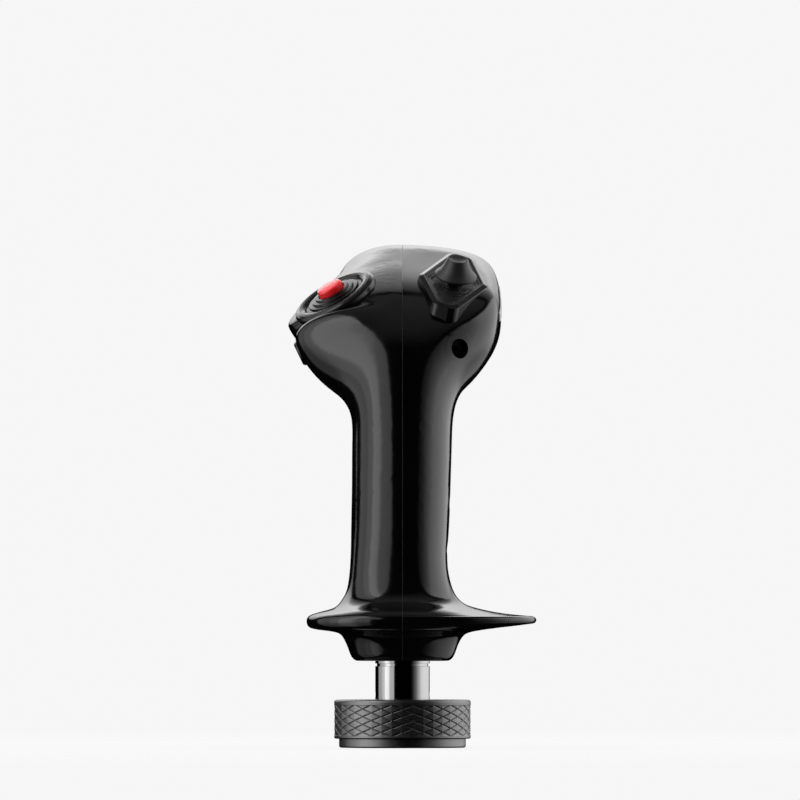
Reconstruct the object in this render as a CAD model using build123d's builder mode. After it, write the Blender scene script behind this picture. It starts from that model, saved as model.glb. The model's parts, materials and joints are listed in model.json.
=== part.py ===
from build123d import *
import math
import os

os.makedirs("parts", exist_ok=True)

# Airliner-style right-hand sidestick grip. Millimetres, +Z up along the stem, +Y away from the
# pilot, +X to the pilot's right. The origin is on the stem's axis, at the lock nut's lower end.

# ---- driving dimensions -------------------------------------------------------------------------
wall = 2.4                # moulded shell thickness
seam_gap = 0.08           # each shell half stops this far from the middle plane
stem_r = 10.0             # stem tube outside radius
stem_bore = 7.5           # stem tube inside radius
stem_low, stem_top = 16.0, 64.0
foot_fill_z = 68.0        # the shells are solid round the stem up to here
nut_r = 25.1              # lock nut over its grip band
nut_ring_r = 23.3         # lower stepped ring of the nut
nut_top = 17.6
nut_ring_top = 3.3
thread_r = 17.0           # minor radius of the coupling thread
thread_len = 8.0
plug_r = 16.6             # plug flange inside the nut
plug_face_z = 8.0
plug_flange_top = 11.5
nut_shoulder = 13.6       # inner shoulder of the nut
socket_r = 8.0            # recess for the mating connector
socket_floor = 11.0
fit_gap = 0.3             # clearance between pieces that move apart
pin_gap = 0.05            # radial running clearance of pivots and plungers

trigger_half = 7.5        # half width of the trigger
trigger_pivot = (92.5, 160.5)
trigger_pull = 7.0        # degrees
screw_r = 1.5

# Head and grip stations, nose to hand rest. Each is a flat section that contains the X direction:
# (upper or rear y, z), (lower or front y, z), left side, right side, lean. A side is its half width,
# the height of its widest point as a share of the section, and how far the outline keeps to its
# bounding box: along the top, up the flank and under the belly. The lean is how steeply the top
# falls to the right where it crosses the middle.
stations = [
    ((101.0, 182.2), (101.5, 162.4), (19.6, 0.50, 0.60, 0.60, 0.60), (29.0, 0.60, 0.62, 0.62, 0.58), 0.0),
    ((98.2, 184.5), (100.2, 159.8), (22.0, 0.50, 0.60, 0.60, 0.60), (31.6, 0.60, 0.64, 0.64, 0.58), 0.0),
    ((91.5, 185.0), (96.6, 154.6), (24.0, 0.50, 0.58, 0.58, 0.58), (33.6, 0.62, 0.70, 0.68, 0.58), 0.04),
    ((82.0, 182.8), (90.5, 147.6), (27.0, 0.52, 0.52, 0.52, 0.58), (35.0, 0.64, 0.80, 0.76, 0.58), 0.08),
    ((69.5, 179.0), (82.6, 140.5), (32.5, 0.57, 0.48, 0.42, 0.54), (36.0, 0.64, 0.88, 0.86, 0.58), 0.10),
    ((55.5, 174.6), (74.6, 133.9), (39.6, 0.62, 0.46, 0.19, 0.44), (36.4, 0.64, 0.92, 0.90, 0.60), 0.10),
    ((42.0, 169.4), (66.6, 130.2), (41.0, 0.64, 0.46, 0.15, 0.40), (36.1, 0.64, 0.92, 0.90, 0.58), 0.09),
    ((30.4, 162.4), (59.4, 127.7), (39.2, 0.63, 0.46, 0.60, 0.46), (33.6, 0.64, 0.78, 0.78, 0.56), 0.07),
    ((21.4, 154.0), (53.2, 125.4), (33.0, 0.52, 0.46, 0.52, 0.52), (28.6, 0.57, 0.62, 0.62, 0.55), 0.03),
    ((14.8, 143.6), (48.4, 122.6), (24.8, 0.47, 0.52, 0.54, 0.56), (22.6, 0.52, 0.58, 0.58, 0.56), 0.0),
    ((9.4, 132.0), (44.2, 117.6), (19.6, 0.47, 0.60, 0.60, 0.60), (19.2, 0.48, 0.60, 0.60, 0.60), 0.0),
    ((3.1, 116.8), (39.4, 108.0), (18.5, 0.46, 0.60, 0.60, 0.62), (18.2, 0.46, 0.60, 0.60, 0.62), 0.0),
    ((-4.2, 99.0), (33.2, 93.8), (18.6, 0.46, 0.60, 0.60, 0.62), (17.7, 0.46, 0.60, 0.60, 0.62), 0.0),
    ((-12.2, 78.5), (25.4, 76.4), (18.9, 0.46, 0.60, 0.60, 0.62), (16.9, 0.46, 0.60, 0.60, 0.62), 0.0),
]

# Levels of the hand rest and skirt: z, left, right, front, rear, corner fullness.
levels = [
    (66.0, 19.3, 16.7, 20.8, -17.0, 0.60),
    (60.0, 20.0, 17.9, 20.2, -19.6, 0.60),
    (56.7, 20.9, 19.2, 21.0, -21.3, 0.60),
    (54.4, 22.2, 20.9, 22.2, -23.2, 0.59),
    (53.0, 23.2, 22.6, 24.4, -25.6, 0.59),
    (52.0, 24.2, 24.8, 27.2, -28.6, 0.58),
    (51.2, 25.6, 27.6, 29.4, -31.4, 0.57),
    (50.5, 27.8, 30.6, 30.5, -33.2, 0.57),
    (49.9, 30.1, 33.6, 31.1, -34.4, 0.57),
    (49.3, 32.2, 37.4, 31.5, -35.2, 0.57),
    (48.8, 33.6, 41.8, 31.7, -35.7, 0.57),
    (48.4, 34.3, 46.2, 31.8, -36.0, 0.57),
    (47.9, 34.8, 48.6, 31.9, -36.3, 0.57),
    (47.0, 35.2, 49.2, 32.0, -36.5, 0.57),
    (46.1, 35.2, 48.9, 32.0, -36.5, 0.57),
    (45.4, 35.1, 46.8, 31.9, -36.4, 0.57),
    (44.8, 34.8, 42.0, 31.7, -36.2, 0.57),
    (44.2, 34.2, 36.8, 31.4, -35.9, 0.57),
    (43.6, 32.6, 32.0, 31.0, -35.0, 0.57),
    (43.0, 28.6, 28.0, 29.6, -32.0, 0.57),
    (42.4, 24.8, 25.0, 25.6, -26.6, 0.5523),
    (41.4, 22.6, 22.8, 22.8, -23.0, 0.5523),
    (39.5, 21.3, 21.3, 21.3, -21.3, 0.5523),
    (36.0, 19.8, 19.8, 19.8, -19.8, 0.5523),
    (33.4, 18.7, 18.7, 18.7, -18.7, 0.5523),
    (32.4, 17.8, 17.8, 17.8, -17.8, 0.5523),
    (31.9, 16.6, 16.6, 16.6, -16.6, 0.5523),
]


def level_station(z, left, right, front, rear, full):
    return ((rear, z), (front, z), (left, 0.5, full, full, full), (right, 0.5, full, full, full), 0.0)


def quarter_arcs(half_width, widest, full_top, full_side, full_low, depth, lean):
    low = widest * depth
    upper = [
        (0, depth),
        (full_top * half_width, depth - lean * full_top * half_width),
        (half_width, low + full_side * (depth - low)),
        (half_width, low),
    ]
    lower = [(half_width, low), (half_width, low - full_low * low), (full_low * half_width, 0), (0, 0)]
    return upper, lower


def half_section(station, side, inset):
    """One closed half section: side is 1 for the right and -1 for the left half of the grip."""
    (uy, uz), (ly, lz), left, right, lean = station
    half_width, widest, full_top, full_side, full_low = right if side > 0 else left
    span = Vector(0, uy - ly, uz - lz)
    up = span.normalized()
    corner = Vector(0, ly, lz) + up * inset
    plane = Plane(origin=corner, x_dir=(1, 0, 0), z_dir=Vector(1, 0, 0).cross(up))
    depth = span.length - 2 * inset
    reach = side * (half_width - inset)
    upper, lower = quarter_arcs(reach, widest, full_top, full_side, full_low, depth, lean)
    with BuildSketch(plane) as outline:
        with BuildLine():
            Bezier(*upper)
            Bezier(*lower)
            Line((0, 0), (0, depth))
        make_face()
    return outline.sketch


def envelope(side, inset=0.0):
    """Half of the grip's outside skin as one solid, grown or shrunk by the inset."""
    rings = stations + [level_station(*level) for level in levels]
    with BuildPart() as skin:
        loft([half_section(ring, side, inset) for ring in rings])
    return skin.part


def hollow(side):
    """Half of the space inside the shells: the head and the grip down to the solid foot."""
    rings = stations[1:] + [level_station(foot_fill_z, 19.2, 16.7, 21.2, -16.6, 0.60)]
    with BuildPart() as space:
        loft([half_section(ring, side, wall) for ring in rings])
    return space.part


def add_rod(start, end, radius, mode=Mode.ADD):
    """A plain cylinder between two points, added to or cut from the current part."""
    start, end = Vector(start), Vector(end)
    axis = end - start
    with BuildSketch(Plane(origin=start, z_dir=axis.normalized())) as disc:
        Circle(radius)
    extrude(disc.sketch, amount=axis.length, mode=mode)


def save(builder, name):
    builder.part.label = name
    export_step(builder.part, f"parts/{name}.step")


# ---- planes of the controls ---------------------------------------------------------------------
thumb_plane = Plane(origin=(-25.2, 50.0, 166.0), x_dir=(0, 0.94, 0.34), z_dir=(-0.469, -0.30, 0.830))
side_plane = Plane(origin=(-38.4, 51.9, 144.4), x_dir=(0, 1, 0), z_dir=(-0.90, 0, -0.43))
plinth_plane = Plane(origin=(18.7, 48.6, 171.55), x_dir=(0.902, 0, -0.18), z_dir=(0.18, -0.392, 0.902))
hat_plane = Plane(origin=(19.4, 49.1, 171.7), x_dir=(0.911, 0, -0.12), z_dir=(0.12, -0.395, 0.911))

# ---- shells -------------------------------------------------------------------------------------
grip_screws = [(12.8, 90.8), (5.0, 73.6)]
head_screw_at = Vector(21.3, 24.0, 146.6)
head_screw_dir = Vector(-0.30, 0.954, 0)
thumb_ring_r = 16.2
side_long, side_wide = 17.7, 9.5
board_up = Vector(0, 0.42, 0.9075)
board_out = Vector(0, -0.9075, 0.42)
board_mid = Vector(0, 9.3, 100.7)
board_posts = [(-8.5, -13.5), (-8.5, 13.5), (8.5, -13.5), (8.5, 13.5)]
frame_posts = [(-6.5, 84.0), (6.5, 84.0)]

plinth_outline = [(-3.1, 26.5), (6.0, 24.2), (13.0, 1.1), (3.1, -26.5), (-5.4, -24.5), (-13.0, -1.1)]

trigger_slot = [
    (101.9, 159.8), (105.2, 149.5), (105.4, 141.0), (102.5, 134.0), (84.0, 134.0), (82.6, 136.9),
    (77.4, 140.2), (90.0, 149.6), (95.7, 155.4), (98.9, 159.2), (100.5, 160.6),
]

lug_half = 3.5
lug_window = [(81.0, 142.0), (100.2, 159.6), (98.6, 164.5), (79.0, 153.5)]


def swung(point, degrees):
    """A point of the trigger's side view after the trigger is pulled by this many degrees."""
    y, z = point[0] - trigger_pivot[0], point[1] - trigger_pivot[1]
    c, s = math.cos(math.radians(degrees)), math.sin(math.radians(degrees))
    return trigger_pivot[0] + y * c + z * s, trigger_pivot[1] - y * s + z * c


def board_point(across, along, out):
    return board_mid + Vector(1, 0, 0) * across + board_up * along + board_out * out


def plinth_shape(height, grow):
    """The plinth's outline at a height over its top plane, grown or shrunk all round."""
    with BuildSketch(plinth_plane.offset(height)) as shape:
        with BuildLine():
            Polyline(*plinth_outline, close=True)
        make_face()
        offset(amount=grow, kind=Kind.INTERSECTION)
        fillet(shape.vertices(), 3.4 + 0.45 * grow)
    return shape.sketch


def boss_cluster(side, skin):
    """Screw bosses and posts inside one shell, trimmed to the outside skin."""
    with BuildPart() as bosses:
        for y, z in grip_screws:
            add_rod((side * seam_gap, y, z), (side * 30, y, z), 5.2)
        if side > 0:
            start = head_screw_at - head_screw_dir * 6
            add_rod(start, start + head_screw_dir * 24, 5.4)
        for across, along in board_posts:
            if across * side > 0:
                low = board_point(across, along, 0)
                add_rod(low, low + board_out * 20, 2.6)
        for x, y in frame_posts:
            if x * side > 0:
                add_rod((x, y, 172.0), (x, y, 190.0), 3.2)
        add(skin, mode=Mode.INTERSECT)
    return bosses.part


def cut_left_openings():
    """Seats for the thumb disc and the side button."""
    with BuildSketch(thumb_plane.offset(-3.0)) as seat:
        Circle(thumb_ring_r + 0.1)
    extrude(seat.sketch, amount=12, mode=Mode.SUBTRACT)
    with BuildSketch(thumb_plane) as well:
        Circle(13.6)
    extrude(well.sketch, amount=-18, mode=Mode.SUBTRACT)
    for height, grow, depth in ((5.0, 2.4, 11.4), (-6.38, 4.7, 5.62)):
        with BuildSketch(side_plane.offset(height)) as side:
            SlotOverall(side_long + grow, side_wide + grow)
        extrude(side.sketch, amount=-depth, mode=Mode.SUBTRACT)


def cut_right_openings():
    """The seat of the hat plinth and the counterbored hole of the head screw."""
    extrude(plinth_shape(8, -1.2), amount=-22, mode=Mode.SUBTRACT)
    with BuildSketch(hat_plane.offset(-20)) as well:
        Rectangle(17.6, 17.6)
    extrude(well.sketch, amount=22, mode=Mode.SUBTRACT)
    start = head_screw_at - head_screw_dir * 8
    add_rod(start, start + head_screw_dir * 17, 3.67, Mode.SUBTRACT)
    add_rod(start, start + head_screw_dir * 40, screw_r, Mode.SUBTRACT)


def cut_trigger_slot(side):
    """The slot the trigger swings in, swept over its whole pull."""
    for turn in (0.0, trigger_pull / 2, trigger_pull):
        with BuildSketch(Plane.YZ) as slot:
            with BuildLine():
                Polyline(*[swung(point, turn) for point in trigger_slot], close=True)
            make_face()
        extrude(slot.sketch, amount=side * (trigger_half + 0.6), mode=Mode.SUBTRACT)
    with BuildSketch(Plane.YZ) as window:
        with BuildLine():
            Polyline(*lug_window, close=True)
        make_face()
    extrude(window.sketch, amount=side * (lug_half + 0.6), mode=Mode.SUBTRACT)


def cut_fixings(side):
    """Screw and dowel holes, and the groove that holds the board."""
    for y, z in grip_screws:
        if side > 0:
            add_rod((7.0, y, z), (30.0, y, z), 3.6, Mode.SUBTRACT)
        add_rod((0, y, z), (side * 13.0, y, z), screw_r, Mode.SUBTRACT)
    for across, along in board_posts:
        if across * side > 0:
            low = board_point(across, along, -1)
            add_rod(low, low + board_out * 6, 1.0, Mode.SUBTRACT)
    for x, y in frame_posts:
        if x * side > 0:
            add_rod((x, y, 170.0), (x, y, 178.0), 1.0, Mode.SUBTRACT)
    add_rod((0, 0, 58.0), (side * 13.5, 0, 58.0), 2.0, Mode.SUBTRACT)
    face = Plane(origin=board_mid, x_dir=(1, 0, 0), z_dir=board_out)
    with BuildSketch(face) as board_space:
        Rectangle(23.4, 37.4)
    extrude(board_space.sketch, amount=1.6, mode=Mode.SUBTRACT)


def face_seam(side):
    """The flat mating face along the middle plane, where the two shells meet."""
    with BuildSketch(Plane.YZ.offset(side * seam_gap)) as face:
        with Locations((30.0, 100.0)):
            Rectangle(300, 300)
    extrude(face.sketch, amount=-side * 2, mode=Mode.SUBTRACT)


def build_shell(side):
    skin = envelope(side)
    with BuildPart() as shell:
        add(skin)
        add_rod((0, 0, 25.0), (0, 0, foot_fill_z + 0.6), stem_r + 0.02, Mode.SUBTRACT)
        add(hollow(side), mode=Mode.SUBTRACT)
        add(boss_cluster(side, skin))
        if side < 0:
            cut_left_openings()
        else:
            cut_right_openings()
        cut_trigger_slot(side)
        cut_fixings(side)
        face_seam(side)
    return shell


left_shell = build_shell(-1)
save(left_shell, "left_shell")

right_shell = build_shell(1)
save(right_shell, "right_shell")

# ---- stem, plug and connector -------------------------------------------------------------------
with BuildPart() as stem_tube:
    with BuildSketch(Plane.XY.offset(stem_low)):
        Circle(stem_r)
        Circle(stem_bore, mode=Mode.SUBTRACT)
    extrude(amount=stem_top - stem_low)
    chamfer(stem_tube.edges().filter_by(GeomType.CIRCLE).sort_by(Axis.Z)[-2:], 0.8)
    with BuildSketch(Plane.XZ):
        with Locations((stem_r, 30.4)):
            Rectangle(1.2, 1.0)
    revolve(axis=Axis.Z, mode=Mode.SUBTRACT)
    add_rod((-20, 0, 58.0), (20, 0, 58.0), 2.0, Mode.SUBTRACT)
    add_rod((-20, 0, 19.5), (20, 0, 19.5), 1.25, Mode.SUBTRACT)
save(stem_tube, "stem_tube")

with BuildPart() as anchor_dowel:
    add_rod((-13.0, 0, 58.0), (13.0, 0, 58.0), 2.0)
    chamfer(anchor_dowel.edges().filter_by(GeomType.CIRCLE), 0.4)
save(anchor_dowel, "anchor_dowel")

with BuildPart() as coupling_plug:
    with BuildSketch(Plane.XZ):
        with BuildLine():
            Polyline(
                (socket_r, plug_face_z), (plug_r, plug_face_z), (plug_r, plug_flange_top),
                (9.95, plug_flange_top), (9.95, stem_low), (7.48, stem_low), (7.48, 23.0), (6.0, 23.0),
                (6.0, 15.0), (socket_r, 15.0), (socket_r, plug_face_z),
            )
        make_face()
    revolve(axis=Axis.Z)
    with BuildSketch(Plane.XY.offset(plug_face_z)):
        with Locations((0, socket_r + 0.4)):
            Rectangle(2.6, 2.4)
    extrude(amount=socket_floor - plug_face_z, mode=Mode.SUBTRACT)
    add_rod((-9, 0, 19.5), (9, 0, 19.5), 1.25, Mode.SUBTRACT)
save(coupling_plug, "coupling_plug")

with BuildPart() as plug_pins:
    add_rod((6.2, 0, 19.5), (9.7, 0, 19.5), 1.23)
    add_rod((-9.7, 0, 19.5), (-6.2, 0, 19.5), 1.23)
save(plug_pins, "plug_pins")

contact_ring_r = 4.0
contact_count = 6

with BuildPart() as connector_insert:
    with BuildSketch(Plane.XY.offset(socket_floor)):
        Circle(socket_r - 0.03)
    extrude(amount=4.0)
    with BuildSketch(Plane.XY.offset(15.0)):
        Circle(5.97)
    extrude(amount=4.0)
    with BuildSketch(Plane.XY.offset(socket_floor)):
        with PolarLocations(contact_ring_r, contact_count):
            Circle(0.8)
        Circle(0.8)
    extrude(amount=8.0, mode=Mode.SUBTRACT)
save(connector_insert, "connector_insert")

with BuildPart() as contact_sleeves:
    with BuildSketch(Plane.XY.offset(socket_floor + 0.2)):
        with PolarLocations(contact_ring_r, contact_count):
            Circle(0.78)
        Circle(0.78)
    extrude(amount=9.2)
    with BuildSketch(Plane.XY.offset(socket_floor)):
        with PolarLocations(contact_ring_r, contact_count):
            Circle(0.45)
        Circle(0.45)
    extrude(amount=5.0, mode=Mode.SUBTRACT)
save(contact_sleeves, "contact_sleeves")

# ---- lock nut -----------------------------------------------------------------------------------
with BuildPart() as lock_nut:
    with BuildSketch(Plane.XZ):
        with BuildLine():
            Polyline(
                (thread_r, 0), (nut_ring_r - 0.5, 0), (nut_ring_r, 0.5), (nut_ring_r, nut_ring_top),
                (nut_r - 0.4, nut_ring_top), (nut_r, 3.7), (nut_r, 4.3), (nut_r - 0.5, 4.5),
                (nut_r - 0.5, 15.6), (nut_r, 15.8), (nut_r, 16.8), (nut_r - 0.25, 17.35),
                (nut_r - 0.8, nut_top), (stem_r + 0.9, nut_top), (stem_r + 0.4, 17.1),
                (stem_r + 0.4, nut_shoulder), (18.0, nut_shoulder), (18.0, thread_len),
                (thread_r, thread_len), (thread_r, 0),
            )
        make_face()
    revolve(axis=Axis.Z)
save(lock_nut, "lock_nut")

with BuildPart() as thrust_washer:
    with BuildSketch(Plane.XY.offset(plug_flange_top + fit_gap)):
        Circle(16.2)
        Circle(stem_r + 0.35, mode=Mode.SUBTRACT)
    extrude(amount=1.5)
    chamfer(thrust_washer.edges().filter_by(GeomType.CIRCLE), 0.2)
save(thrust_washer, "thrust_washer")

# ---- fasteners ----------------------------------------------------------------------------------
with BuildPart() as shell_screws:
    for y, z in grip_screws:
        add_rod((7.0, y, z), (9.4, y, z), 2.9)
        add_rod((-12.4, y, z), (7.0, y, z), screw_r - 0.02)
    for y, z in grip_screws:
        with BuildSketch(Plane(origin=(9.4, y, z), z_dir=(1, 0, 0))) as drive:
            RegularPolygon(1.3, 6)
        extrude(drive.sketch, amount=-1.4, mode=Mode.SUBTRACT)
save(shell_screws, "shell_screws")

with BuildPart() as head_screw:
    seat = head_screw_at + head_screw_dir * 9
    add_rod(seat - head_screw_dir * 2.4, seat, 2.9)
    add_rod(seat, seat + head_screw_dir * 11.5, screw_r - 0.02)
    with BuildSketch(Plane(origin=seat - head_screw_dir * 2.4, z_dir=head_screw_dir)) as drive:
        RegularPolygon(1.3, 6)
    extrude(drive.sketch, amount=1.4, mode=Mode.SUBTRACT)
save(head_screw, "head_screw")

with BuildPart() as nut_plate:
    with BuildSketch(Plane(origin=head_screw_at + head_screw_dir * 18.05, z_dir=head_screw_dir)):
        Rectangle(11, 11)
        Circle(screw_r, mode=Mode.SUBTRACT)
    extrude(amount=2.0)
save(nut_plate, "nut_plate")

# ---- main board and harness ---------------------------------------------------------------------
board_face = Plane(origin=board_mid, x_dir=(1, 0, 0), z_dir=board_out)
board_t = 1.6

with BuildPart() as main_board:
    with BuildSketch(board_face):
        RectangleRounded(22, 36, 1.0)
        with Locations(*board_posts):
            Circle(1.1, mode=Mode.SUBTRACT)
    extrude(amount=board_t)
save(main_board, "main_board")

with BuildPart() as board_chips:
    with BuildSketch(board_face.offset(board_t)):
        with Locations((0, 0.5)):
            Rectangle(10, 10)
        with Locations((-6.5, -8.6), (6.5, -8.6), (7.4, 8.6)):
            Rectangle(3.2, 2.4)
    extrude(amount=1.5)
save(board_chips, "board_chips")

with BuildPart() as board_headers:
    with BuildSketch(board_face.offset(board_t)):
        with Locations((0, -15.4), (0, 15.4)):
            Rectangle(10.4, 5)
    extrude(amount=5.0)
save(board_headers, "board_headers")

with BuildPart() as board_screws:
    for across, along in board_posts:
        top = board_point(across, along, 0)
        add_rod(top - board_out * 1.2, top, 1.9)
        add_rod(top, top + board_out * 4.8, 0.98)
save(board_screws, "board_screws")

with BuildPart() as wiring_harness:
    with BuildLine() as route:
        FilletPolyline(
            (0, 0, 21.3), (0, 0, 27), (0, -4.6, 40), (0, -4.6, 76), board_point(0, -18.4, 4.4), radius=12
        )
    with BuildSketch(Plane(origin=route.line @ 0, z_dir=route.line % 0)):
        Circle(2.1)
    sweep(path=route.line)
save(wiring_harness, "wiring_harness")

# ---- thumb button -------------------------------------------------------------------------------
def turned(plane, *profile):
    """A solid turned about a plane's normal from (radius, height) points."""
    with BuildSketch(Plane(origin=plane.origin, x_dir=plane.x_dir, z_dir=-plane.y_dir)) as half:
        with BuildLine():
            Polyline(*profile, close=True)
        make_face()
    revolve(half.sketch, axis=Axis(plane.origin, plane.z_dir))


def block(plane, low, high, across, along, mode=Mode.ADD):
    """A box centred on a plane's axis, from one height to another."""
    with BuildSketch(plane.offset(low)) as base:
        Rectangle(across, along)
    extrude(base.sketch, amount=high - low, mode=mode)


def coil(plane, mean_r, wire_r, height, pitch):
    """A round-wire spring that starts on the plane and rises along its normal."""
    with BuildLine() as turns:
        Helix(pitch, height, mean_r, center=plane.origin, direction=plane.z_dir)
    with BuildSketch(Plane(origin=turns.line @ 0, z_dir=turns.line % 0)) as wire:
        Circle(wire_r)
    sweep(wire.sketch, path=turns.line, is_frenet=True)


with BuildPart() as bezel_ring:
    turned(
        thumb_plane,
        (11.7, -3.0), (16.2, -3.0), (16.2, -0.3), (15.8, 0.45), (15.0, 1.0), (13.9, 1.2), (12.8, 1.0),
        (12.1, 0.5), (11.7, -0.1),
    )
save(bezel_ring, "bezel_ring")

with BuildPart() as ridged_disc:
    turned(
        thumb_plane,
        (5.25, -2.6), (11.6, -2.6), (11.6, 0.0), (10.3, 0.1), (10.1, 0.8), (8.6, 0.9), (8.4, 1.6),
        (6.9, 1.7), (6.7, 2.3), (5.5, 2.4), (5.25, 2.1),
    )
save(ridged_disc, "ridged_disc")

with BuildPart() as red_button:
    turned(
        thumb_plane,
        (0, -4.0), (6.3, -4.0), (6.3, -3.0), (4.9, -3.0), (4.9, 4.0), (4.6, 4.5), (3.9, 4.8), (2.0, 5.0),
        (0, 5.05),
    )
    with BuildSketch(thumb_plane.offset(-4.0)):
        Circle(1.2)
    extrude(amount=-1.3)
save(red_button, "red_button")

with BuildPart() as thumb_carrier:
    turned(
        thumb_plane,
        (7.9, -2.65), (9.0, -2.65), (9.0, -10.6), (0, -10.6), (0, -9.6), (7.9, -9.6),
    )
save(thumb_carrier, "thumb_carrier")

with BuildPart() as thumb_switch:
    with BuildSketch(thumb_plane.offset(-9.58)):
        Circle(7.8)
    extrude(amount=1.0)
    block(thumb_plane, -8.58, -6.9, 6.4, 6.4)
save(thumb_switch, "thumb_switch")

with BuildPart() as thumb_spring:
    coil(thumb_plane.offset(-6.62), 2.6, 0.25, 2.3, 0.9)
save(thumb_spring, "thumb_spring")

# ---- side button --------------------------------------------------------------------------------
def stadium(height, grow, amount, mode=Mode.ADD):
    with BuildSketch(side_plane.offset(height)) as shape:
        SlotOverall(side_long + grow, side_wide + grow)
    extrude(shape.sketch, amount=amount, mode=mode)


with BuildPart() as side_button:
    stadium(-6.9, 0.0, 6.9)
    fillet(side_button.faces().sort_by(Axis(side_plane.origin, side_plane.z_dir))[-1].edges(), 1.2)
    stadium(-7.75, 2.1, 1.0)
    with BuildSketch(side_plane.offset(-7.75)):
        Circle(1.2)
    extrude(amount=-0.35)
save(side_button, "side_button")

with BuildPart() as side_collar:
    stadium(-6.4, 2.2, 3.4)
    fillet(side_collar.faces().sort_by(Axis(side_plane.origin, side_plane.z_dir))[-1].edges(), 0.5)
    stadium(-6.4, 0.6, 3.4, Mode.SUBTRACT)
save(side_collar, "side_collar")

with BuildPart() as side_housing:
    stadium(-11.4, 4.5, 4.95)
    stadium(-10.4, 2.7, 3.95, Mode.SUBTRACT)
save(side_housing, "side_housing")

with BuildPart() as side_switch:
    block(side_plane, -10.38, -9.4, 7.0, 6.0)
save(side_switch, "side_switch")

with BuildPart() as side_spring:
    coil(side_plane.offset(-9.15), 2.3, 0.2, 1.15, 0.55)
save(side_spring, "side_spring")

# ---- hat plinth and hat -------------------------------------------------------------------------
with BuildPart() as hat_plinth:
    loft([plinth_shape(-9.0, 0.8), plinth_shape(0, 0)])
    loft([plinth_shape(0, 0), plinth_shape(0.7, -1.6)])
    add(envelope(1), mode=Mode.SUBTRACT)
    extrude(plinth_shape(-3.6, -1.3), amount=3.4)
    block(hat_plane, -20.0, -5.9, 17.6, 17.6, Mode.SUBTRACT)
    for step in range(3):
        extrude(plinth_shape(0.8, -2.1 - 1.1 * step), amount=-0.55 - 0.45 * step, mode=Mode.SUBTRACT)
    with BuildSketch(hat_plane.offset(6)):
        Circle(3.6)
    extrude(amount=-14, mode=Mode.SUBTRACT)
save(hat_plinth, "hat_plinth")

pivot_h = -9.0
pitch_axis = Plane(origin=hat_plane.offset(pivot_h).origin, x_dir=hat_plane.y_dir, z_dir=hat_plane.x_dir)
roll_axis = Plane(origin=hat_plane.offset(pivot_h).origin, x_dir=hat_plane.x_dir, z_dir=hat_plane.y_dir)


def pivot_pins(plane, inner, outer, radius, mode=Mode.ADD):
    """A pair of pins, or their holes, on both sides of the hat's pivot."""
    for sign in (-1, 1):
        start = plane.origin + plane.z_dir * sign * inner
        add_rod(start, plane.origin + plane.z_dir * sign * outer, radius, mode)


with BuildPart() as hat_housing:
    block(hat_plane, -17.2, -6.2, 16.8, 16.8)
    block(hat_plane, -16.0, -6.2, 14.8, 14.8, Mode.SUBTRACT)
    with BuildSketch(hat_plane.offset(pivot_h - 2.2)):
        with Locations((-6.5, 0), (6.5, 0)):
            Rectangle(2.2, 4.4)
    extrude(amount=4.4)
    pivot_pins(pitch_axis, 5.0, 8.2, 0.8 + pin_gap, Mode.SUBTRACT)
save(hat_housing, "hat_housing")

with BuildPart() as hat_gimbal:
    with BuildSketch(hat_plane.offset(pivot_h - 1.2)):
        Circle(5.0)
        Circle(3.4, mode=Mode.SUBTRACT)
    extrude(amount=2.4)
    pivot_pins(pitch_axis, 4.6, 7.2, 0.8)
    pivot_pins(roll_axis, 3.0, 5.4, 0.8 + pin_gap, Mode.SUBTRACT)
save(hat_gimbal, "hat_gimbal")

with BuildPart() as hat_stick:
    turned(
        hat_plane,
        (0, -12.3), (1.6, -12.3), (2.0, -11.9), (2.0, -10.4), (2.6, -10.2), (2.6, -7.8), (2.0, -7.6),
        (2.0, 2.5), (1.5, 2.7), (1.5, 6.0), (1.2, 6.3), (0, 6.3),
    )
    pivot_pins(roll_axis, 2.0, 4.7, 0.8)
save(hat_stick, "hat_stick")

with BuildPart() as hat_cap:
    turned(
        hat_plane,
        (1.5 + pin_gap, 3.3), (3.4, 3.3), (4.0, 3.4), (7.2, 1.8), (7.5, 1.6), (7.8, 1.9), (7.8, 2.4),
        (7.4, 2.8), (6.1, 4.1), (5.1, 5.8), (4.4, 7.4), (4.0, 8.5), (3.6, 8.9), (3.1, 8.85), (1.6, 8.4),
        (0, 8.25), (0, 7.1), (1.5 + pin_gap, 7.1),
    )
save(hat_cap, "hat_cap")

with BuildPart() as hat_switch:
    block(hat_plane, -15.98, -14.8, 14.6, 14.6)
    block(hat_plane, -14.8, -13.4, 8.0, 8.0)
    with BuildSketch(hat_plane.offset(-13.4)):
        Circle(1.5)
    extrude(amount=0.4)
save(hat_switch, "hat_switch")

# ---- trigger ------------------------------------------------------------------------------------
trigger_front = [
    (99.4, 158.0), (103.4, 149.5), (104.2, 142.5), (101.6, 136.0), (97.2, 129.5), (94.5, 120.6),
    (94.6, 111.7), (97.8, 104.6),
]
trigger_back = [(92.2, 103.0), (87.8, 112.6), (85.6, 123.4), (85.4, 132.0), (83.6, 137.6)]
trigger_top = [(83.6, 137.6), (79.0, 140.2), (90.4, 148.7), (96.2, 154.6), (99.4, 158.0)]
lug = [(87.0, 146.0), (95.6, 153.6), (97.0, 159.5), (95.4, 163.9), (91.0, 164.8), (80.5, 161.6), (80.5, 158.8), (87.6, 157.6)]

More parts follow.
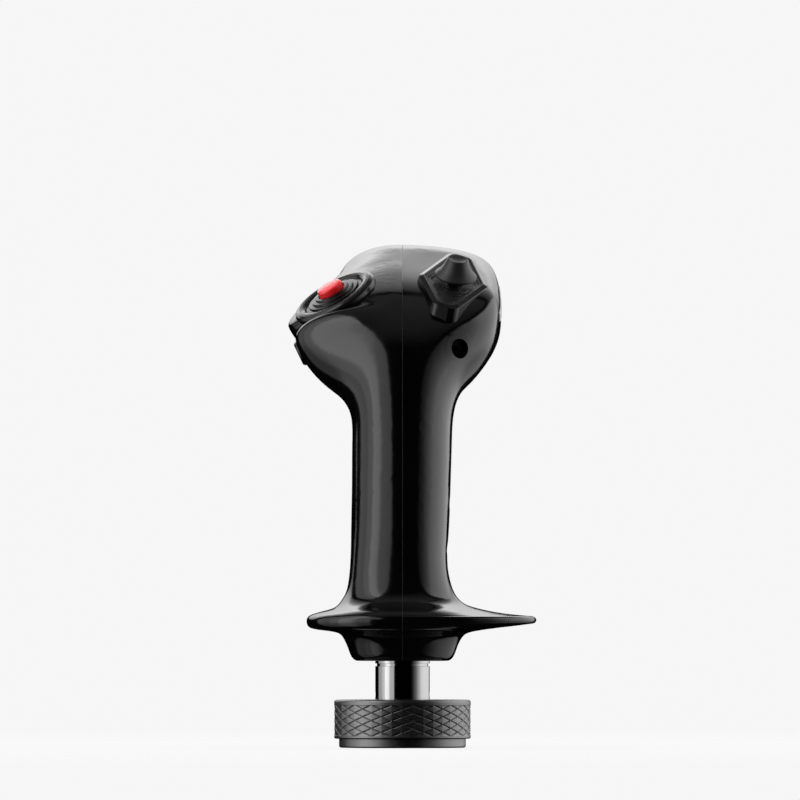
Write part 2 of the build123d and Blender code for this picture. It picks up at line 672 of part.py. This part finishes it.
with BuildPart() as trigger:
    with BuildSketch(Plane.YZ.offset(-trigger_half)):
        with BuildLine():
            Spline(*trigger_front)
            ThreePointArc(trigger_front[-1], (95.9, 101.4), trigger_back[0])
            Spline(*trigger_back)
            Polyline(*trigger_top)
        make_face()
    extrude(amount=2 * trigger_half)
    fillet(trigger.edges().filter_by(lambda e: abs(abs(e.center().X) - trigger_half) < 0.01), 1.6)
    with BuildSketch(Plane.YZ.offset(-lug_half)):
        with BuildLine():
            Polyline(*lug, close=True)
        make_face()
    extrude(amount=2 * lug_half)
    add_rod((-20, *trigger_pivot), (20, *trigger_pivot), 1.5 + pin_gap, Mode.SUBTRACT)
save(trigger, "trigger")

with BuildPart() as trigger_pin:
    add_rod((-10.6, *trigger_pivot), (10.6, *trigger_pivot), 1.5)
    chamfer(trigger_pin.edges().filter_by(GeomType.CIRCLE), 0.3)
save(trigger_pin, "trigger_pin")

with BuildPart() as trigger_frame:
    with BuildSketch(Plane.XY.offset(170.3)):
        with Locations((0, 87.5)):
            Rectangle(20.2, 17)
        with Locations(*frame_posts):
            Circle(1.1, mode=Mode.SUBTRACT)
    extrude(amount=1.5)
    for side in (-1, 1):
        with BuildSketch(Plane.YZ.offset(side * 8.6)):
            with Locations((92.0, 164.6)):
                Rectangle(5.2, 13.2)
        extrude(amount=side * 1.5)
    add_rod((-20, *trigger_pivot), (20, *trigger_pivot), 1.52, Mode.SUBTRACT)
save(trigger_frame, "trigger_frame")

with BuildPart() as frame_screws:
    for x, y in frame_posts:
        add_rod((x, y, 169.1), (x, y, 170.3), 1.9)
        add_rod((x, y, 170.3), (x, y, 177.6), 0.98)
save(frame_screws, "frame_screws")

with BuildPart() as trigger_switch:
    with BuildSketch(Plane.XY.offset(164.8)):
        with Locations((0, 84.6)):
            Rectangle(6.0, 10.0)
    extrude(amount=5.45)
    add_rod((0, 82.6, 163.9), (0, 82.6, 164.9), 0.8)
save(trigger_switch, "trigger_switch")

with BuildPart() as trigger_spring:
    coil(Plane(origin=(4.3, *trigger_pivot), x_dir=(0, 1, 0), z_dir=(1, 0, 0)), 2.5, 0.35, 3.6, 0.9)
save(trigger_spring, "trigger_spring")

# ---- leads in the head, and the blank name bar --------------------------------------------------
lead_routes = [
    [board_point(-2, 18.0, 4.4), (-2, 22.0, 138.7), (-12, 46, 149.5), (-18.0, 53.0, 156.6)],
    [board_point(2, 18.0, 4.4), (2, 24.0, 143.0), (9, 50, 151.0), (16, 56.0, 154.6)],
    [board_point(-5, 18.0, 4.4), (-6, 20.0, 134.3), (-20, 44, 142), (-26.4, 51.0, 149.9)],
    [board_point(5, 18.0, 4.4), (5, 24.0, 141.0), (3, 62, 148.0), (1, 78.4, 166.2)],
]
with BuildPart() as switch_leads:
    for stops in lead_routes:
        with BuildLine() as route:
            FilletPolyline(*stops, radius=6)
        with BuildSketch(Plane(origin=route.line @ 0, z_dir=route.line % 0)) as core:
            Circle(0.9)
        sweep(core.sketch, path=route.line)
save(switch_leads, "switch_leads")

with BuildPart() as name_bar:
    with BuildSketch(Plane(origin=(18, 61, 163.2), x_dir=(0, 0.94, 0.34), z_dir=(1, 0, 0))):
        RectangleRounded(30, 3.6, 0.8)
    extrude(amount=30)
    add(envelope(1, -0.3), mode=Mode.INTERSECT)
    add(envelope(1), mode=Mode.SUBTRACT)
save(name_bar, "name_bar")
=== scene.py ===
import json
import math

import bpy
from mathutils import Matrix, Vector


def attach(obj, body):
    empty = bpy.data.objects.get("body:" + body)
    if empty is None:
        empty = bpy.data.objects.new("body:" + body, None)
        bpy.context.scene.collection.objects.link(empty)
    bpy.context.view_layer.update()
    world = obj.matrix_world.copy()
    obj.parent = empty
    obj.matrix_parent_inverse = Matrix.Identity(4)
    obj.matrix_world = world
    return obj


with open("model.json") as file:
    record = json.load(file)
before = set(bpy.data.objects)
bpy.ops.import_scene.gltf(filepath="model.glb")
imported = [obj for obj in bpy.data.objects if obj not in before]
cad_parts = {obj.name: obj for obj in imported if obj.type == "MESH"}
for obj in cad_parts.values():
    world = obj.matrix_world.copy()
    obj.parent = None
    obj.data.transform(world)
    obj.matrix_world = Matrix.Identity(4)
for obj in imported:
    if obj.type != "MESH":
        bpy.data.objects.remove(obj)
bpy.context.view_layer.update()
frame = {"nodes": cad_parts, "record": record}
cad = frame["nodes"]
MM = 0.001
PLINTH_UP = (0.18, -0.392, 0.902)
THUMB_UP = (-0.469, -0.30, 0.830)


# ---- node helpers -------------------------------------------------------------------------------
class Tree:
    """A material's node tree with short calls for the nodes used over and over."""

    def __init__(self, name):
        self.material = bpy.data.materials.new(name)
        self.material.use_nodes = True
        self.nodes = self.material.node_tree.nodes
        self.links = self.material.node_tree.links
        self.shader = self.nodes["Principled BSDF"]
        self.coords = self.nodes.new("ShaderNodeTexCoord").outputs["Object"]

    def put(self, socket, value):
        if hasattr(value, "is_output"):
            self.links.new(value, socket)
        else:
            socket.default_value = value

    def add(self, kind, **inputs):
        node = self.nodes.new(kind)
        for key, value in inputs.items():
            self.put(node.inputs[key.replace("_", " ")], value)
        return node

    def stretched(self, scale):
        node = self.add("ShaderNodeMapping", Vector=self.coords, Scale=scale)
        return node.outputs["Vector"]

    def noise(self, scale, detail=2.0, rough=0.5, vector=None, distortion=0.0):
        node = self.add("ShaderNodeTexNoise", Vector=vector or self.coords, Scale=scale, Detail=detail,
                        Roughness=rough, Distortion=distortion)
        return node.outputs["Fac"]

    def fit(self, value, low, high, to_low, to_high, smooth=False):
        node = self.nodes.new("ShaderNodeMapRange")
        node.interpolation_type = "SMOOTHSTEP" if smooth else "LINEAR"
        for socket, number in zip(node.inputs[:5], (value, low, high, to_low, to_high)):
            self.put(socket, number)
        return node.outputs["Result"]

    def math(self, operation, a, b=0.0, c=0.0):
        node = self.nodes.new("ShaderNodeMath")
        node.operation = operation
        for socket, number in zip(node.inputs, (a, b, c)):
            self.put(socket, number)
        return node.outputs["Value"]

    def mix(self, factor, a, b):
        node = self.nodes.new("ShaderNodeMix")
        node.data_type = "RGBA"
        self.put(node.inputs["Factor"], factor)
        self.put(node.inputs["A"], a)
        self.put(node.inputs["B"], b)
        return node.outputs["Result"]

    def bump(self, height, distance, normal=None, strength=1.0):
        node = self.add("ShaderNodeBump", Height=height, Distance=distance, Strength=strength)
        if normal:
            self.put(node.inputs["Normal"], normal)
        return node.outputs["Normal"]

    def rounded(self, radius):
        node = self.add("ShaderNodeBevel", Radius=radius)
        node.samples = 6
        return node.outputs["Normal"]

    def facing(self, direction, low, high):
        """1 where the surface faces a fixed direction of the object, 0 where it turns away."""
        node = self.nodes.new("ShaderNodeVectorMath")
        node.operation = "DOT_PRODUCT"
        self.put(node.inputs[0], self.nodes.new("ShaderNodeTexCoord").outputs["Normal"])
        self.put(node.inputs[1], direction)
        return self.fit(node.outputs["Value"], low, high, 0.0, 1.0, smooth=True)

    def set(self, **inputs):
        for key, value in inputs.items():
            self.put(self.shader.inputs[key.replace("_", " ")], value)
        return self.material


def rgb(r, g, b):
    return (r, g, b, 1.0)


# ---- materials ----------------------------------------------------------------------------------
def gloss_black(name="gloss_black", tone=1.0, rough=0.115):
    """Moulded ABS, polished tool: deep black, faint flow marks, light handling haze."""
    t = Tree(name)
    flow = t.noise(34.0, 3.0, 0.55, t.stretched((1.0, 1.0, 0.35)))
    haze = t.noise(95.0, 4.0, 0.62, distortion=0.6)
    grain = t.noise(5200.0, 2.0, 0.5)
    peel = t.noise(620.0, 2.0, 0.4)
    tint = t.mix(t.fit(flow, 0.35, 0.65, 0.0, 1.0), rgb(0.0010 * tone, 0.0010 * tone, 0.0011 * tone),
                 rgb(0.0018 * tone, 0.0018 * tone, 0.0019 * tone))
    roughness = t.math("ADD", t.fit(haze, 0.3, 0.75, rough - 0.02, rough + 0.045),
                       t.fit(grain, 0.3, 0.7, -0.012, 0.012))
    normal = t.bump(peel, 0.0016 * MM, t.rounded(0.06 * MM))
    normal = t.bump(grain, 0.00025 * MM, normal)
    return t.set(Base_Color=tint, Roughness=roughness, Normal=normal, IOR=1.53)


def satin_black(name="satin_black", shade=0.012, rough=0.36, texture=1.0):
    """Spark-textured moulded plastic, as on the parts a thumb touches."""
    t = Tree(name)
    pebble = t.add("ShaderNodeTexVoronoi", Vector=t.coords, Scale=6500.0)
    fine = t.noise(9500.0, 3.0, 0.6)
    worn = t.noise(160.0, 3.0, 0.55)
    tint = t.mix(t.fit(worn, 0.3, 0.7, 0.0, 1.0), rgb(shade * 0.8, shade * 0.8, shade * 0.82),
                 rgb(shade * 1.25, shade * 1.25, shade * 1.3))
    roughness = t.math("ADD", t.fit(worn, 0.3, 0.7, rough + 0.04, rough - 0.05),
                       t.fit(fine, 0.3, 0.7, -0.03, 0.03))
    normal = t.bump(pebble.outputs["Distance"], 0.0022 * MM * texture, t.rounded(0.16 * MM))
    normal = t.bump(fine, 0.0015 * MM * texture, normal)
    return t.set(Base_Color=tint, Roughness=roughness, Normal=normal, IOR=1.5)


def plinth_black():
    """The hat plinth: textured on its stepped top, polished on its bevel and walls."""
    t = Tree("plinth_black")
    top = t.facing(PLINTH_UP, 0.975, 0.992)
    pebble = t.add("ShaderNodeTexVoronoi", Vector=t.coords, Scale=6500.0)
    fine = t.noise(9000.0, 3.0, 0.6)
    worn = t.noise(150.0, 3.0, 0.55)
    polished = t.fit(worn, 0.3, 0.7, 0.13, 0.17)
    textured = t.fit(worn, 0.3, 0.7, 0.30, 0.25)
    blend = t.nodes.new("ShaderNodeMix")
    for socket, value in zip(("Factor", "A", "B"), (top, polished, textured)):
        t.put(blend.inputs[socket], value)
    tint = t.mix(top, rgb(0.002, 0.002, 0.0021), rgb(0.008, 0.008, 0.0083))
    height = t.math("MULTIPLY", t.math("ADD", pebble.outputs["Distance"], fine), top)
    normal = t.bump(height, 0.0015 * MM, t.rounded(0.2 * MM))
    return t.set(Base_Color=tint, Roughness=blend.outputs["Result"], Normal=normal, IOR=1.52)


def turned_metal(name, color, rough, lines, tone=0.12, depth=0.0006, bevel=0.12):
    """Lathe-turned metal: fine rings round the vertical axis, and slow patches of haze."""
    t = Tree(name)
    rings = t.noise(1.0, 3.0, 0.65, t.stretched((6.0, 6.0, lines)))
    haze = t.noise(70.0, 4.0, 0.6)
    dark = rgb(*[c * (1 - tone) for c in color])
    light = rgb(*[min(1.0, c * (1 + tone)) for c in color])
    tint = t.mix(t.fit(haze, 0.3, 0.7, 0.0, 1.0), dark, light)
    roughness = t.math("ADD", t.fit(haze, 0.3, 0.7, rough * 0.85, rough * 1.2),
                       t.fit(rings, 0.25, 0.75, -0.25 * rough, 0.25 * rough))
    normal = t.bump(rings, depth * MM, t.rounded(bevel * MM))
    return t.set(Base_Color=tint, Roughness=roughness, Normal=normal, Metallic=1.0)


def anodised(name="nut_alloy"):
    """Bead-blasted aluminium, anodised near black, a little lighter where the blast is finer."""
    t = Tree(name)
    blast = t.noise(5200.0, 3.0, 0.65)
    rings = t.noise(1.0, 2.0, 0.6, t.stretched((12.0, 12.0, 5200.0)))
    patch = t.noise(120.0, 3.0, 0.6)
    tint = t.mix(t.fit(patch, 0.3, 0.7, 0.0, 1.0), rgb(0.175, 0.175, 0.178), rgb(0.235, 0.235, 0.239))
    roughness = t.math("ADD", t.fit(patch, 0.3, 0.7, 0.35, 0.42), t.fit(blast, 0.3, 0.7, -0.035, 0.035))
    normal = t.bump(blast, 0.0016 * MM, t.rounded(0.12 * MM))
    normal = t.bump(rings, 0.0009 * MM, normal)
    return t.set(Base_Color=tint, Roughness=roughness, Normal=normal, Metallic=1.0)


def red_plastic():
    """Translucent-red moulded button: saturated and glossy, with a painted highlight that lightens its
    upward-facing top.
    """
    t = Tree("red_plastic")
    # Painted highlight: a mask of the surface that faces up along THUMB_UP, where the red is lightened to
    # pale pink below.
    painted_highlight_top = t.facing(THUMB_UP, 0.55, 0.99)
    cloud = t.noise(420.0, 3.0, 0.5)
    grain = t.noise(7000.0, 2.0, 0.5)
    deep = t.mix(t.fit(cloud, 0.3, 0.7, 0.0, 1.0), rgb(0.90, 0.012, 0.016), rgb(0.98, 0.020, 0.026))
    tint = t.mix(painted_highlight_top, deep, rgb(1.0, 0.075, 0.085))
    roughness = t.fit(grain, 0.3, 0.7, 0.24, 0.33)
    normal = t.bump(grain, 0.0006 * MM, t.rounded(0.15 * MM))
    return t.set(Base_Color=tint, Roughness=roughness, Normal=normal, IOR=1.49, Coat_Weight=0.35,
                 Coat_Roughness=0.12, Subsurface_Weight=0.08, Subsurface_Scale=0.002)


def speckled(name, low, high, rough, scale=1500.0, depth=0.002, metallic=0.0, bevel=0.1):
    """A plain part's finish: two close colours in fine speckle, matching roughness and grain."""
    t = Tree(name)
    coarse = t.noise(scale * 0.12, 3.0, 0.6)
    fine = t.noise(scale, 3.0, 0.65)
    tint = t.mix(t.fit(t.math("ADD", coarse, fine), 0.75, 1.25, 0.0, 1.0), rgb(*low), rgb(*high))
    roughness = t.fit(fine, 0.3, 0.7, rough * 0.85, rough * 1.15)
    normal = t.bump(fine, depth * MM, t.rounded(bevel * MM))
    return t.set(Base_Color=tint, Roughness=roughness, Normal=normal, Metallic=metallic)


def circuit_board():
    """Solder-masked glass laminate with a faint weave and copper runs under the mask."""
    t = Tree("board_green")
    weave = t.add("ShaderNodeTexBrick", Vector=t.coords, Scale=900.0)
    runs = t.add("ShaderNodeTexWave", Vector=t.coords, Scale=260.0, Distortion=3.0)
    fine = t.noise(2500.0, 3.0, 0.6)
    ground = t.mix(t.fit(fine, 0.3, 0.7, 0.0, 1.0), rgb(0.010, 0.075, 0.030), rgb(0.016, 0.110, 0.045))
    tint = t.mix(t.fit(runs.outputs["Fac"], 0.72, 0.80, 0.0, 0.6), ground, rgb(0.05, 0.22, 0.08))
    height = t.math("ADD", weave.outputs["Fac"], t.fit(runs.outputs["Fac"], 0.7, 0.8, 0.0, 1.0))
    normal = t.bump(height, 0.006 * MM)
    return t.set(Base_Color=tint, Roughness=t.fit(fine, 0.3, 0.7, 0.28, 0.4), Normal=normal)


def cable_rubber():
    """Cable jacket: matt extruded rubber with fine length-wise drag lines."""
    t = Tree("cable_jacket")
    drag = t.noise(1.0, 3.0, 0.6, t.stretched((3500.0, 3500.0, 120.0)))
    dust = t.noise(300.0, 4.0, 0.65)
    tint = t.mix(t.fit(dust, 0.45, 0.75, 0.0, 1.0), rgb(0.012, 0.012, 0.013), rgb(0.03, 0.03, 0.031))
    return t.set(Base_Color=tint, Roughness=t.fit(drag, 0.3, 0.7, 0.5, 0.68), Normal=t.bump(drag, 0.01 * MM))


looks = {
    "gloss_black": gloss_black(),
    "satin_black": satin_black(),
    "pale_print": speckled("pale_print", (0.62, 0.63, 0.64), (0.72, 0.73, 0.74), 0.42, 2600.0, 0.0015),
    "polished_steel": turned_metal("polished_steel", (0.40, 0.40, 0.405), 0.10, 5200.0, 0.05, 0.0002),
    "steel": turned_metal("steel", (0.42, 0.42, 0.43), 0.26, 3800.0, 0.12, 0.001),
    "black_steel": speckled("black_steel", (0.010, 0.010, 0.011), (0.026, 0.026, 0.027), 0.34, 2400.0, 0.002),
    "plug_alloy": turned_metal("plug_alloy", (0.36, 0.365, 0.38), 0.30, 3200.0, 0.1, 0.0012),
    "nut_alloy": anodised(),
    "washer_plastic": speckled("washer_plastic", (0.60, 0.58, 0.53), (0.70, 0.68, 0.62), 0.45, 1200.0),
    "insert_plastic": speckled("insert_plastic", (0.020, 0.020, 0.022), (0.034, 0.034, 0.036), 0.45, 1800.0),
    "gold_contact": speckled("gold_contact", (0.75, 0.50, 0.16), (0.86, 0.62, 0.24), 0.2, 2600.0, 0.001, 1.0),
    "board_green": circuit_board(),
    "chip_black": speckled("chip_black", (0.014, 0.014, 0.015), (0.024, 0.024, 0.026), 0.6, 3200.0, 0.004),
    "cable_jacket": cable_rubber(),
    "red_plastic": red_plastic(),
}
finishes = dict(looks)
finishes["disc_black"] = satin_black("disc_black", 0.006, 0.26, 0.6)
finishes["ring_black"] = satin_black("ring_black", 0.006, 0.22, 0.5)
finishes["hat_black"] = satin_black("hat_black", 0.016, 0.38, 1.0)
finishes["plinth_black"] = plinth_black()
finishes["button_gloss"] = gloss_black("button_gloss", 1.6, 0.12)
finishes["trigger_black"] = gloss_black("trigger_black", 1.4, 0.14)

own_finish = {
    "ridged_disc": "disc_black",
    "bezel_ring": "ring_black",
    "hat_cap": "hat_black",
    "hat_plinth": "plinth_black",
    "side_button": "button_gloss",
    "side_collar": "button_gloss",
    "trigger": "trigger_black",
}

for part in frame["record"]["subparts"]:
    node = part["node"]
    mesh = cad[node].data
    finish = finishes[own_finish.get(node, part["material_slot"])]
    mesh.materials.clear()
    mesh.materials.append(finish)
    for polygon in mesh.polygons:
        polygon.material_index = 0


# ---- knurled grip band of the lock nut ----------------------------------------------------------
BAND_LOW, BAND_HIGH = 4.3, 15.8
BAND_RADIUS, BAND_INNER = 25.1, 24.45
LOZENGES_ROUND = 20
LOZENGE_HALF_RISE = 1.42
CHAMFER = 0.55
LAND_DEPTH, FOLD_DEPTH, GROOVE_DEPTH = 0.10, 0.16, 0.34
GROOVE_WIDTH = 0.20


def knurl_radius(turn, z):
    """Radius of the band in mm: lozenges folded down their middle, parted by crossing grooves."""
    half_turn = math.radians(180 / LOZENGES_ROUND)
    middle = (BAND_LOW + BAND_HIGH) / 2
    inside = fold = 0.0
    for shift in (0.0, 1.0):
        u = abs((turn / half_turn - shift + 1.0) % 2.0 - 1.0)
        v = abs(((z - middle) / LOZENGE_HALF_RISE - shift + 1.0) % 2.0 - 1.0)
        if u + v <= 1.0:
            inside = max(inside, 1.0 - u - v)
            fold = u
    groove = max(0.0, 1.0 - inside / GROOVE_WIDTH)
    edge = max(0.0, min(1.0, min(z - BAND_LOW, BAND_HIGH - z) / CHAMFER)) ** 0.5
    return BAND_RADIUS - edge * (LAND_DEPTH + FOLD_DEPTH * fold + GROOVE_DEPTH * groove ** 1.4)


def ring_point(radius, turn, z):
    return (radius * MM * math.cos(turn), radius * MM * math.sin(turn), z * MM)


def knurl_band():
    """A closed ring of rows: the knurled outside, then the plain bore that sits in the nut's recess."""
    around, rows = 960, 100
    turns = [2 * math.pi * i / around for i in range(around)]
    verts, faces = [], []
    for j in range(rows + 1):
        z = BAND_LOW + (BAND_HIGH - BAND_LOW) * j / rows
        verts += [ring_point(knurl_radius(turn, z), turn, z) for turn in turns]
    for z in (BAND_HIGH, BAND_LOW):
        verts += [ring_point(BAND_INNER, turn, z) for turn in turns]
    loops = rows + 3
    for j in range(loops):
        for i in range(around):
            k = (i + 1) % around
            a, b = j * around, ((j + 1) % loops) * around
            faces.append((a + i, a + k, b + k, b + i))
    mesh = bpy.data.meshes.new("knurl_band")
    mesh.from_pydata(verts, [], faces)
    mesh.update()
    for polygon in mesh.polygons:
        polygon.use_smooth = True
    mesh.set_sharp_from_angle(angle=math.radians(50))
    mesh.materials.append(finishes["nut_alloy"])
    band = bpy.data.objects.new("knurl_band", mesh)
    bpy.context.scene.collection.objects.link(band)
    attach(band, "lock_nut")


knurl_band()


# ---- seam shade sheet: black sheet standing in for shade in the joint ---------------------------
JOINT_FACE = 0.0805
SHADE_SHEET_HALF, SHADE_SHEET_INSET = 0.06, 0.04


def seam_shade_sheet():
    """A thin black sheet between the two shells, cut to the left shell's joint face and set back. It stands
    in for shade: it blocks light through the gap between the shells so the joint stays dark.
    """
    shell = cad["left_shell"].data
    joint = [list(polygon.vertices) for polygon in shell.polygons
             if all(shell.vertices[i].co.x > -JOINT_FACE * MM for i in polygon.vertices)]
    edges = {(a, b) for corners in joint for a, b in zip(corners, corners[1:] + corners[:1])}
    rim = [(a, b) for a, b in edges if (b, a) not in edges]
    inward = {}
    for a, b in rim:
        along = shell.vertices[b].co - shell.vertices[a].co
        across = Vector((0, -along.z, along.y)).normalized()
        for corner in (a, b):
            inward[corner] = inward.get(corner, Vector()) + across
    used = sorted({i for corners in joint for i in corners})
    place = {corner: k for k, corner in enumerate(used)}
    half, set_back = SHADE_SHEET_HALF * MM, SHADE_SHEET_INSET * MM
    verts = []
    for side in (1, -1):
        for corner in used:
            spot = shell.vertices[corner].co + inward.get(corner, Vector()).normalized() * set_back
            verts.append((side * half, spot.y, spot.z))
    faces = []
    for corners in joint:
        front = [place[i] for i in corners]
        faces.append(front)
        faces.append([k + len(used) for k in reversed(front)])
    for a, b in sorted(rim):
        faces.append([place[b], place[a], place[a] + len(used), place[b] + len(used)])
    mesh = bpy.data.meshes.new("seam_shade_sheet")
    mesh.from_pydata(verts, [], faces)
    mesh.update()
    # Stand-in shade: the sheet is black so the joint reads dark, where the real object has only shade.
    mesh.materials.append(finishes["cable_jacket"])
    shade_sheet = bpy.data.objects.new("seam_shade_sheet", mesh)
    bpy.context.scene.collection.objects.link(shade_sheet)
    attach(shade_sheet, "grip")


seam_shade_sheet()


# ---- studio -------------------------------------------------------------------------------------
def stage_mesh(name, verts, material):
    mesh = bpy.data.meshes.new(name)
    mesh.from_pydata(verts, [], [tuple(range(len(verts)))])
    uv = mesh.uv_layers.new(name="UVMap")
    for loop, corner in zip(uv.data, ((0, 0), (1, 0), (1, 1), (0, 1))):
        loop.uv = corner
    mesh.materials.append(material)
    obj = bpy.data.objects.new(name, mesh)
    bpy.context.scene.collection.objects.link(obj)
    return obj


def panel(name, corners, across, upward, power):
    """A softbox: four corners, brightness stops along its width and its height."""
    material = bpy.data.materials.new(name)
    material.use_nodes = True
    tree = material.node_tree
    tree.nodes.clear()
    out = tree.nodes.new("ShaderNodeOutputMaterial")
    emit = tree.nodes.new("ShaderNodeEmission")
    split = tree.nodes.new("ShaderNodeSeparateXYZ")
    coords = tree.nodes.new("ShaderNodeTexCoord")
    tree.links.new(coords.outputs["UV"], split.inputs[0])
    product = tree.nodes.new("ShaderNodeMath")
    product.operation = "MULTIPLY"
    for axis, stops in enumerate((across, upward)):
        ramp = tree.nodes.new("ShaderNodeValToRGB")
        ramp.color_ramp.interpolation = "LINEAR" if len(stops) > 3 else "EASE"
        elements = ramp.color_ramp.elements
        while len(elements) < len(stops):
            elements.new(0.5)
        for element, (at, level) in zip(elements, stops):
            element.position = at
            element.color = (level, level, level, 1)
        tree.links.new(split.outputs[axis], ramp.inputs["Fac"])
        tree.links.new(ramp.outputs["Color"], product.inputs[axis])
    scale = tree.nodes.new("ShaderNodeMath")
    scale.operation = "MULTIPLY"
    scale.inputs[1].default_value = power
    tree.links.new(product.outputs[0], scale.inputs[0])
    tree.links.new(scale.outputs[0], emit.inputs["Strength"])
    tree.links.new(emit.outputs[0], out.inputs["Surface"])
    obj = stage_mesh(name, corners, material)
    obj.visible_camera = False
    obj.visible_shadow = False
    return obj


def upright(x, y0, y1, z0, z1):
    return [(x, y0, z0), (x, y1, z0), (x, y1, z1), (x, y0, z1)]


# Each softbox has its width and height split into stops of (place along it, brightness). The side
# boxes hang on both sides of the object, reach below the floor for its undersides, and dim there.
side_x, side_low, side_front = 0.9, -0.9, 0.95
left_rise = [(0.0, 0.25), (0.26, 0.5), (0.31, 0.9), (0.35, 1.0), (0.96, 1.0), (1.0, 0.8)]
right_rise = [(0.0, 0.25), (0.36, 0.5), (0.43, 0.9), (0.48, 1.0), (0.93, 1.0), (1.0, 0.8)]
panel("left_softbox", upright(-side_x, -1.25, side_front, side_low, 1.95),
      [(0.0, 0.39), (0.27, 0.44), (0.35, 0.92), (0.48, 1.0), (0.51, 0.56), (0.60, 0.5), (0.62, 0.34),
       (0.79, 0.3), (0.83, 0.0), (1.0, 0.0)], left_rise, 2.5)
panel("left_high_softbox", upright(-side_x, -1.95, -1.25, 0.6, 1.95), [(0.0, 0.3), (1.0, 0.39)],
      [(0.0, 0.2), (0.3, 1.0), (0.9, 1.0), (1.0, 0.8)], 2.5)
panel("right_softbox", upright(side_x, -1.2, 1.6, side_low, 1.15),
      [(0.0, 0.0), (0.11, 0.02), (0.24, 0.15), (0.33, 0.45), (0.42, 0.9), (0.53, 1.0), (0.72, 0.9),
       (1.0, 0.75)],
      right_rise, 1.75)
panel("back_softbox", [(-1.4, 1.5, 0.3), (1.4, 1.5, 0.3), (1.2, 1.1, 1.7), (-1.2, 1.1, 1.7)],
      [(0.0, 0.6), (0.3, 1.0), (0.55, 1.0), (0.75, 0.6), (1.0, 0.4)],
      [(0.0, 0.35), (0.2, 0.6), (0.38, 1.0), (0.5, 0.5), (0.6, 0.36), (0.75, 0.2), (1.0, 0.08)], 2.5)
panel("overhead", [(-1.2, -0.9, 1.9), (1.2, -0.9, 1.9), (1.2, 1.0, 1.9), (-1.2, 1.0, 1.9)],
      [(0.0, 0.7), (0.3, 1.0), (0.7, 1.0), (1.0, 0.7)],
      [(0.0, 0.2), (0.3, 0.8), (0.7, 1.0), (1.0, 1.0)], 0.16)
fill = panel("top_fill", [(-1.1, -1.2, 1.7), (1.1, -1.2, 1.7), (1.1, 1.0, 1.7), (-1.1, 1.0, 1.7)],
             [(0.0, 0.6), (0.5, 1.0), (1.0, 0.6)], [(0.0, 0.5), (0.5, 0.8), (1.0, 1.0)], 2.6)
fill.visible_glossy = False


def stage_floor():
    material = bpy.data.materials.new("stage_floor")
    material.use_nodes = True
    tree = material.node_tree
    tree.nodes.clear()
    out = tree.nodes.new("ShaderNodeOutputMaterial")
    coords = tree.nodes.new("ShaderNodeTexCoord")
    far = tree.nodes.new("ShaderNodeVectorMath")
    far.operation = "LENGTH"
    tree.links.new(coords.outputs["Object"], far.inputs[0])
    fade = tree.nodes.new("ShaderNodeMapRange")
    fade.interpolation_type = "SMOOTHSTEP"
    fade.inputs["From Min"].default_value = 0.12
    fade.inputs["From Max"].default_value = 0.8
    tree.links.new(far.outputs["Value"], fade.inputs["Value"])
    clear = tree.nodes.new("ShaderNodeBsdfTransparent")
    paint = tree.nodes.new("ShaderNodeBsdfDiffuse")
    paint.inputs["Color"].default_value = (0.55, 0.55, 0.55, 1)
    glow = tree.nodes.new("ShaderNodeEmission")
    glow.inputs["Color"].default_value = (0.99, 0.99, 0.99, 1)
    surface = tree.nodes.new("ShaderNodeMixShader")
    surface.inputs["Fac"].default_value = 0.88
    tree.links.new(paint.outputs[0], surface.inputs[1])
    tree.links.new(glow.outputs[0], surface.inputs[2])
    blend = tree.nodes.new("ShaderNodeMixShader")
    tree.links.new(fade.outputs["Result"], blend.inputs["Fac"])
    tree.links.new(surface.outputs[0], blend.inputs[1])
    tree.links.new(clear.outputs[0], blend.inputs[2])
    tree.links.new(blend.outputs[0], out.inputs["Surface"])
    size = 0.9
    floor = stage_mesh("floor", [(-size, -size, -0.0002), (size, -size, -0.0002), (size, size, -0.0002),
                                 (-size, size, -0.0002)], material)
    floor.visible_glossy = False


stage_floor()

world = bpy.data.worlds.new("studio")
bpy.context.scene.world = world
world.use_nodes = True
world.node_tree.nodes["Background"].inputs["Color"].default_value = (0.922, 0.922, 0.922, 1)
world.node_tree.nodes["Background"].inputs["Strength"].default_value = 1.0
world.cycles_visibility.glossy = False
world.cycles_visibility.diffuse = False

camera = bpy.data.objects.new("camera", bpy.data.cameras.new("camera"))
bpy.context.scene.collection.objects.link(camera)
camera.data.lens = 1500.0
camera.data.clip_end = 60.0
frame_width = 0.2944
aim_x, aim_y, aim_z = -0.0009, 0.02, 0.1277
stand_off = frame_width * camera.data.lens / camera.data.sensor_width
camera.location = (aim_x, aim_y - stand_off, aim_z)
camera.rotation_euler = (math.radians(90), 0, 0)
bpy.context.scene.camera = camera
bpy.context.scene.view_settings.view_transform = "Standard"
bpy.context.scene.view_settings.look = "None"
